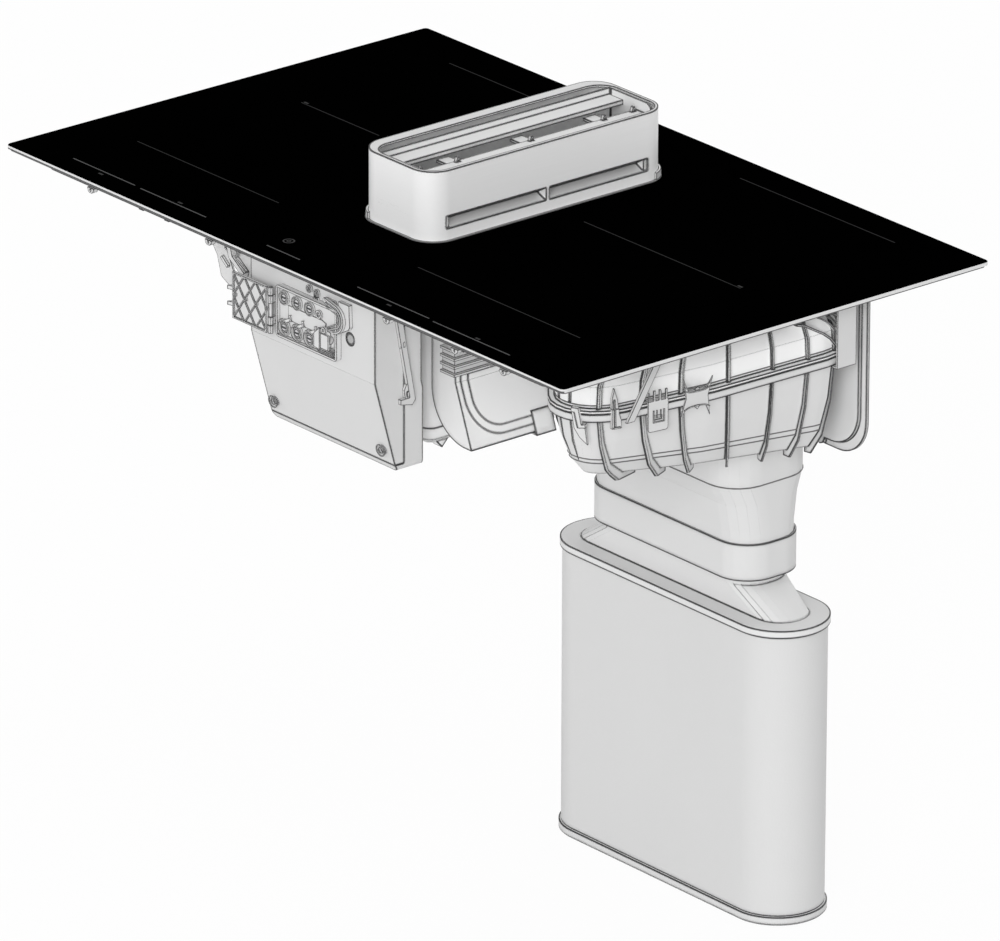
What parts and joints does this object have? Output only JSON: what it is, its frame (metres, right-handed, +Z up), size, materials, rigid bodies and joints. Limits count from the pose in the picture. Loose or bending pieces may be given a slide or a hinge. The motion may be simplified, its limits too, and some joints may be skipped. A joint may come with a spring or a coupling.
{
  "type": "downdraft vent",
  "caption": "Glass induction hob with a rising intake tower, a fan in a ribbed housing hung under it, a flat duct and an upright filter box.",
  "frame": {"origin": "the middle of the hob's plan on the worktop's upper face, which is the underside of the hob's seal", "axes": "+X to the right along the glass and +Y to the back, as the cook stands at the hob, +Z up out of the worktop"},
  "size_m": [0.83, 0.52, 0.6955],
  "materials": {
    "black_glass": "gloss black glass-ceramic",
    "seal_foam": "closed-cell sealing tape",
    "frame_metal": "pressed sheet, satin",
    "tray_metal": "galvanised sheet",
    "coil_winding": "wound coil on a carrier",
    "collar_black": "black moulded",
    "guide_plastic": "fine-grained moulding",
    "grey_plastic": "fine-grained moulding",
    "case_plastic": "fine-grained moulding",
    "screw_steel": "turned",
    "circuit_board": "solder mask",
    "terminal_plastic": "moulded",
    "lid_plastic": "moulded",
    "clip_steel": "spring steel",
    "clip_plastic": "moulded",
    "housing_plastic": "fine-grained moulding",
    "motor_metal": "die-cast",
    "impeller_plastic": "moulded",
    "duct_plastic": "smooth moulding",
    "filter_plastic": "smooth moulding",
    "filter_shell": "fleece over a perforated shell",
    "tower_metal": "satin anodised",
    "cassette_steel": "satin",
    "mesh_steel": "expanded metal"
  },
  "bodies": {
    "chassis": {"glass_panel": "black_glass", "worktop_seal": "seal_foam", "carrier_frame": "frame_metal", "coil_tray_left": "tray_metal", "coil_tray_right": "tray_metal", "coil_front_left": "coil_winding", "coil_front_right": "coil_winding", "coil_rear_left": "coil_winding", "coil_rear_right": "coil_winding", "tower_collar": "collar_black", "corner_guide_left": "guide_plastic", "corner_guide_right": "guide_plastic", "intake_well": "grey_plastic", "drip_tray": "grey_plastic", "guide_rail_front": "guide_plastic", "guide_rail_rear": "guide_plastic", "electronics_cover": "case_plastic", "electronics_tray": "case_plastic", "case_screw_1": "screw_steel", "case_screw_2": "screw_steel", "power_board": "circuit_board", "terminal_frame": "case_plastic", "terminal_block": "terminal_plastic", "terminal_screw_1": "screw_steel", "terminal_screw_2": "screw_steel", "terminal_screw_3": "screw_steel", "terminal_screw_4": "screw_steel", "terminal_screw_5": "screw_steel", "terminal_screw_6": "screw_steel", "cord_clamp": "terminal_plastic", "lid_hinge": "terminal_plastic", "cable_bracket": "grey_plastic", "side_strap": "clip_steel", "transfer_duct": "grey_plastic", "duct_neck": "grey_plastic", "cable_plug": "terminal_plastic", "air_housing_lower": "housing_plastic", "air_housing_upper": "housing_plastic", "end_cover": "housing_plastic", "seam_latch": "clip_plastic", "star_clip": "clip_steel", "corner_clip": "clip_plastic", "rib_clip": "clip_steel", "duct_clip": "clip_plastic", "brace_strut": "clip_steel", "hanger_strap": "clip_steel", "fan_motor": "motor_metal", "duct_adapter": "duct_plastic", "duct_sleeve": "duct_plastic", "filter_cap": "filter_plastic", "filter_body": "filter_shell", "filter_base": "filter_plastic"},
    "tower": {"tower_shell": "tower_metal"},
    "filter_cassette": {"filter_frame": "cassette_steel", "baffle_plate": "cassette_steel", "grease_mesh": "mesh_steel"},
    "terminal_lid": {"terminal_lid": "lid_plastic"},
    "impeller": {"impeller": "impeller_plastic"}
  },
  "joints": [
    {"name": "tower_lift", "type": "slide", "parent": "chassis", "child": "tower", "axis": [0, 0, 1], "range_m": [-0.07, 0]},
    {"name": "cassette_lift", "type": "slide", "parent": "tower", "child": "filter_cassette", "axis": [0, 0, 1], "range_m": [0, 0.06]},
    {"name": "terminal_lid_hinge", "type": "hinge", "parent": "chassis", "child": "terminal_lid", "pos_m": [-0.051, -0.2275, -0.0633], "axis": [0, 0, 1], "range_deg": [0, 180]},
    {"name": "impeller_spin", "type": "hinge", "parent": "chassis", "child": "impeller", "pos_m": [0.265, 0.01, -0.068], "axis": [0, 0, 1], "continuous": true}
  ]
}
